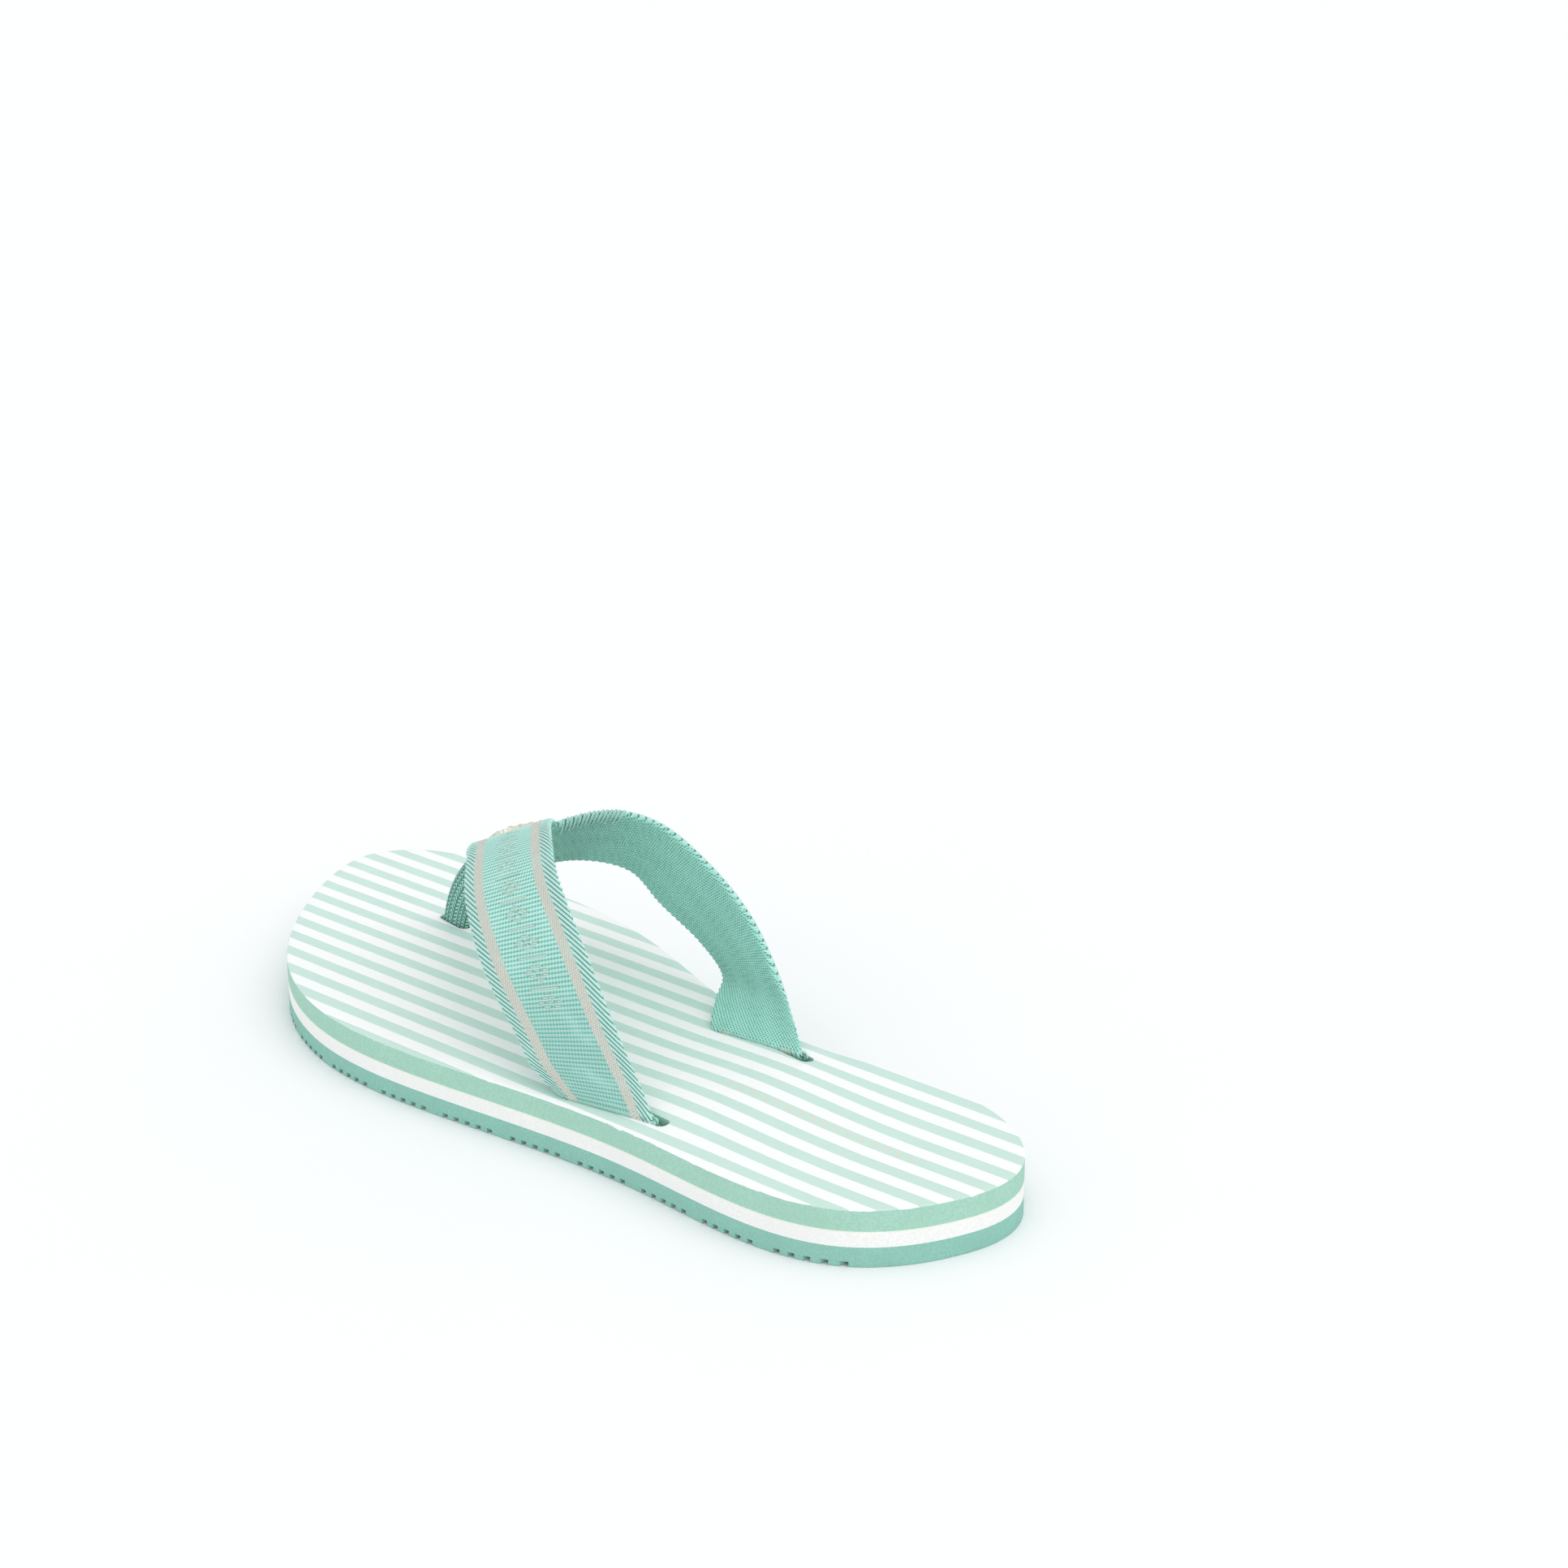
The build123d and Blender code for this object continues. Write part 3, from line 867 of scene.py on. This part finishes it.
def strap_object(name, strap, half, limit_normal, materials):
    """The webbing cut off in its slot and beyond the join, its back in the second material."""
    bm = webbing_mesh(strap, half)
    cut(bm, (0, 0, SOLE_TOP - SLOT_DEPTH), (0, 0, 1), keep_below=False)
    cut(bm, APEX + limit_normal * APEX_REACH, limit_normal)
    piece = made_object(name, bm, materials, crease=70)
    mesh = piece.data
    outs = {}
    for polygon in mesh.polygons:
        along = mesh.uv_layers[0].data[polygon.loop_start].uv[0] / MM
        key = round(along)
        if key not in outs:
            outs[key] = strap.point(along, 0, 1) - strap.point(along, 0, 0)
        if polygon.normal.dot(outs[key]) < -0.2 * MM:
            polygon.material_index = 1
    return piece


class FLIPFLOP_OT_straps(bpy.types.Operator):
    """Weaves the lateral and medial straps"""
    bl_idname = "flipflop.straps"
    bl_label = "Webbing straps"

    def execute(self, context):
        straps = context.scene.flipflop_straps
        lateral, medial, half = strap_pair(straps)
        lining = lining_finish("webbing_back", straps)
        motif = webbing_finish("webbing_motif", straps, 0.24 * lateral.length,
                               0.93 * lateral.length)
        plain = webbing_finish("webbing_plain", straps)
        across_lateral, across_medial = (run.cross(APEX_NORMAL).normalized()
                                         for run in (LATERAL_RUN, MEDIAL_RUN))
        for across in (across_lateral, across_medial):
            if across.x < 0:
                across.negate()
        piece = strap_object("lateral_webbing", lateral, half, across_medial, [motif, lining])
        settle(piece, REAR, ["lateral_strap"], "webbing")
        piece = strap_object("medial_webbing", medial, half, across_lateral, [plain, lining])
        settle(piece, REAR, ["medial_strap"], "webbing")
        return {"FINISHED"}


class FLIPFLOP_OT_post(bpy.types.Operator):
    """Plaits the toe post between the sole and the join"""
    bl_idname = "flipflop.post"
    bl_label = "Toe post"

    def execute(self, context):
        straps = context.scene.flipflop_straps
        wide, thick = straps.post_width / MM / 2, POST_HALF_THICKNESS
        route = [Vector(point) for point in POST_ROUTE]
        rings, lengths = [], []
        run, last = 0.0, None
        for row in range(POST_ROWS + 1):
            share = row / POST_ROWS
            centre = spline(route, share)
            ahead = (spline(route, min(share + 0.01, 1)) - spline(route, max(share - 0.01, 0)))
            ahead.normalize()
            side = Vector((0, 1, 0)) - ahead * ahead.y
            side.normalize()
            fore = side.cross(ahead)
            run += (centre - last).length if last else 0
            last = centre
            ring = []
            for column in range(POST_COLUMNS):
                turn = 2 * math.pi * column / POST_COLUMNS
                x = math.copysign(abs(math.cos(turn)) ** 0.75, math.cos(turn)) * wide
                y = math.copysign(abs(math.sin(turn)) ** 0.6, math.sin(turn)) * thick
                lean = abs((x / PLAIT_WIDTH + 0.5) % 1 - 0.5) * PLAIT_WIDTH
                strand = abs(math.sin(math.pi * (run - PLAIT_LEAN * lean) / PLAIT_PITCH))
                gutter = abs(math.sin(math.pi * x / PLAIT_WIDTH))
                swell = 1 + 0.10 * (strand * min(1, gutter * 2) - 0.5)
                ring.append((centre + fore * x * (1 + (swell - 1) * 0.35) + side * y * swell) * MM
                            + Vector((0, 0, SOLE_TOP)))
            rings.append(ring)
            lengths.append(run * MM)
        girth = [math.cos(2 * math.pi * k / POST_COLUMNS) * wide * MM
                 for k in range(POST_COLUMNS + 1)]
        piece = made_object("toe_post_plait", tube(rings, lengths, girth),
                            [plait_finish("post_plait", straps)], crease=70)
        base, head = (route[at] * MM + Vector((0, 0, SOLE_TOP)) for at in (1, -2))
        tuple(head)
        tuple(base)
        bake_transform(piece)
        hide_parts("toe_post")
        return {"FINISHED"}


# ---- what is sewn on -------------------------------------------------------------------------
def patch_point():
    """Places points on the patch from along, across (millimetres) and out (0 to 1)."""
    low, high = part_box("apex_patch")
    along_dir = Vector((1, 0, -0.75))
    along_dir = (along_dir - APEX_NORMAL * along_dir.dot(APEX_NORMAL)).normalized()
    across_dir = APEX_NORMAL.cross(along_dir)
    middle = ((low + high) / 2 - APEX_NORMAL * (APEX_SETTLE + 1.6 * MM)
              + (along_dir * PATCH_SHIFT[0] + across_dir * PATCH_SHIFT[1]) * MM)

    def point(along, across, out):
        weave = 0.05 * math.sin(along * 8) * math.sin(across * 8) * out
        rise = (out - 0.5) * 1.2 + weave - 0.0022 * (across ** 2 + along ** 2)
        return middle + (along_dir * along + across_dir * across + APEX_NORMAL * rise) * MM
    return point


def dash_run(point, start, end, height):
    """A stitch that dips into the cloth at both ends; start and end are (along, across)."""
    run = []
    for step in range(9):
        share = step / 8
        along = start[0] + (end[0] - start[0]) * share
        across = start[1] + (end[1] - start[1]) * share
        run.append(point(along, across, 1 + height * (math.sin(math.pi * share) - 0.35)))
    return run


def dash_rows(point, lines, count, pitch, half, height, over):
    """Rows of stitches on the lines: along the piece, or over it."""
    runs = []
    for line in lines:
        for step in range(count):
            middle = (step - (count - 1) / 2) * pitch
            ends = ((middle - half, line), (middle + half, line))
            runs.append(dash_run(point, *(end[::-1] if over else end for end in ends), height))
    return runs


def sew_on(weave_piece, stitch_piece, runs, radius, thread):
    """A woven piece and its stitches. Each is given as name, CAD node and slot."""
    name, node, slot, bm, finish = weave_piece
    settle(made_object(name, bm, [finish], crease=60), REAR, [node], slot)
    name, node, slot = stitch_piece
    settle(threads(name, runs, radius * MM, thread), REAR, [node], slot)


class FLIPFLOP_OT_patch(bpy.types.Operator):
    """Sews the cream patch over the join of the straps"""
    bl_idname = "flipflop.patch"
    bl_label = "Apex patch"

    def execute(self, context):
        straps = context.scene.flipflop_straps
        point = patch_point()
        weave = woven_finish("patch_weave", straps.patch_cream, srgb(206, 190, 158))
        bm = slab(90, 60, 10.0, 8.5, 3.0, point, ragged=0.14)
        runs = (dash_rows(point, (-6.9, 6.9), 5, 3.0, 1.1, 0.5, over=False)
                + dash_rows(point, (-8.4, 8.4), 4, 3.0, 1.1, 0.5, over=True))
        sew_on(("apex_patch_weave", "apex_patch", "patch_leather", bm, weave),
               ("patch_stitches", "patch_stitching", "cream_thread"), runs, 0.3,
               thread_finish("cream_thread", shade(straps.patch_cream, 0.85)))
        return {"FINISHED"}


class FLIPFLOP_OT_overcast(bpy.types.Operator):
    """Overcasts the medial strap's rear edge beside the join"""
    bl_idname = "flipflop.overcast"
    bl_label = "Overcast stitches"

    def execute(self, context):
        straps = context.scene.flipflop_straps
        _, medial, half = strap_pair(straps)
        low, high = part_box("strap_seam_stitching")
        middle = medial.nearest((low + high) / 2)
        runs = []
        for step in range(OVERCAST_LOOPS):
            start = middle + (step - OVERCAST_LOOPS / 2) * OVERCAST_PITCH
            reach = 2.7 + 0.8 * math.sin(step * 2.3)
            run = []
            for place in range(13):
                turn = math.pi * place / 12
                across = -HALF_WIDTH + reach - (reach + 0.35) * math.sin(turn)
                out = (half + 0.3) * math.cos(turn)
                run.append(medial.point(start + 0.9 * place / 12, across, out))
            runs.append(run)
        finish = thread_finish("mint_thread", srgb(184, 229, 218))
        piece = threads("overcast_stitches", runs, 0.34 * MM, finish)
        settle(piece, REAR, ["strap_seam_stitching"], "mint_thread")
        return {"FINISHED"}


class FLIPFLOP_OT_label(bpy.types.Operator):
    """Sews the grey woven label inside the lateral strap"""
    bl_idname = "flipflop.label"
    bl_label = "Inner label"

    def execute(self, context):
        straps = context.scene.flipflop_straps
        lateral, _, half = strap_pair(straps)
        low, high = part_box("inner_label")
        middle = lateral.nearest((low + high) / 2)

        def point(along, across, out):
            return lateral.point(middle + along, across, -half - 0.12 - out * 0.5)
        bm = slab(80, 44, 15.0, 9.0, 0.5, point, ragged=0.04)
        weave = woven_finish("label_weave", straps.label_grey, srgb(176, 188, 186), thread=0.5)
        runs = dash_rows(point, (-13.9, 13.9), 6, 2.9, 0.95, 0.8, over=True)
        sew_on(("inner_label_weave", "inner_label", "label_fabric", bm, weave),
               ("label_stitches", "label_stitching", "grey_thread"), runs, 0.24,
               thread_finish("grey_thread", srgb(150, 170, 165)))
        return {"FINISHED"}


class FLIPFLOP_OT_plugs(bpy.types.Operator):
    """Gives the anchor plugs under the sole their moulded rubber finish"""
    bl_idname = "flipflop.plugs"
    bl_label = "Anchor plugs"

    def execute(self, context):
        sole = context.scene.flipflop_sole
        finish = foam_finish("plug_rubber", shade(sole.outsole_mint, 0.86), roughness=0.62,
                             pore=0.04)
        for node in ("lateral_anchor_plug", "medial_anchor_plug", "toe_anchor_plug"):
            for slot in frame["nodes"][node].material_slots:
                slot.material = finish
        return {"FINISHED"}


# ---- stage -----------------------------------------------------------------------------------
def soft_light(name, place, softness, power, tint):
    """A broad far lamp in the direction of place; its softness is an angle in degrees."""
    light = bpy.data.lights.new(name, "SUN")
    light.angle = math.radians(softness)
    light.energy = power
    light.color = tint
    lamp = bpy.data.objects.new(name, light)
    lamp.location = place
    lamp.rotation_euler = (-Vector(place)).to_track_quat("-Z", "Y").to_euler()
    bpy.context.scene.collection.objects.link(lamp)


class FLIPFLOP_OT_stage(bpy.types.Operator):
    """Sets up the pale floor, the soft lights and the camera"""
    bl_idname = "flipflop.stage"
    bl_label = "Stage"

    def execute(self, context):
        scene = context.scene
        bm = bmesh.new()
        bmesh.ops.create_grid(bm, x_segments=4, y_segments=4, size=FLOOR_SIZE)
        bmesh.ops.translate(bm, verts=bm.verts, vec=(0, 0, -FLOOR_DROP))
        floor = made_object("floor", bm, [floor_finish()])
        world = scene.world or bpy.data.worlds.new("studio")
        scene.world = world
        world.use_nodes = True
        background = world.node_tree.nodes["Background"]
        background.inputs["Color"].default_value = (0.97, 0.985, 1.0, 1)
        background.inputs["Strength"].default_value = WORLD_STRENGTH
        soft_light("key", (-0.9, -0.25, 1.3), 55, KEY_POWER, (1, 0.995, 0.98))
        soft_light("fill", (-0.9, 1.0, 0.8), 80, FILL_POWER, (0.98, 0.99, 1))
        scene.view_settings.view_transform = "Standard"
        scene.view_settings.look = "None"
        data = bpy.data.cameras.new("camera")
        data.lens = CAMERA_LENS
        data.sensor_width = CAMERA_SENSOR
        camera = bpy.data.objects.new("camera", data)
        camera.location = CAMERA_PLACE
        ahead = Vector((*(part * math.cos(CAMERA_PITCH) for part in CAMERA_HEADING),
                        -math.sin(CAMERA_PITCH)))
        camera.rotation_euler = ahead.to_track_quat("-Z", "Y").to_euler()
        scene.collection.objects.link(camera)
        scene.camera = camera
        return {"FINISHED"}


class FLIPFLOP_PT_panel(bpy.types.Panel):
    """Lists the sizes and the pieces"""
    bl_idname = "FLIPFLOP_PT_panel"
    bl_label = "Flip flop"
    bl_space_type = "VIEW_3D"
    bl_region_type = "UI"
    bl_category = "Flip flop"

    def draw(self, context):
        layout = self.layout
        for group in (context.scene.flipflop_sole, context.scene.flipflop_straps):
            box = layout.box()
            for name in group.__annotations__:
                box.prop(group, name)
        for operator in OPERATORS:
            layout.operator(operator.bl_idname)


OPERATORS = (FLIPFLOP_OT_stage, FLIPFLOP_OT_sole, FLIPFLOP_OT_straps, FLIPFLOP_OT_post,
             FLIPFLOP_OT_patch, FLIPFLOP_OT_overcast, FLIPFLOP_OT_label, FLIPFLOP_OT_plugs)
CLASSES = (FlipFlopSole, FlipFlopStraps, *OPERATORS, FLIPFLOP_PT_panel)


def register():
    for cls in CLASSES:
        bpy.utils.register_class(cls)
    bpy.types.Scene.flipflop_sole = PointerProperty(type=FlipFlopSole)
    bpy.types.Scene.flipflop_straps = PointerProperty(type=FlipFlopStraps)


def unregister():
    del bpy.types.Scene.flipflop_straps
    del bpy.types.Scene.flipflop_sole
    for cls in reversed(CLASSES):
        bpy.utils.unregister_class(cls)


def main():
    register()
    for operator in OPERATORS:
        group, name = operator.bl_idname.split(".")
        getattr(getattr(bpy.ops, group), name)()


if __name__ == "__main__":
    main()
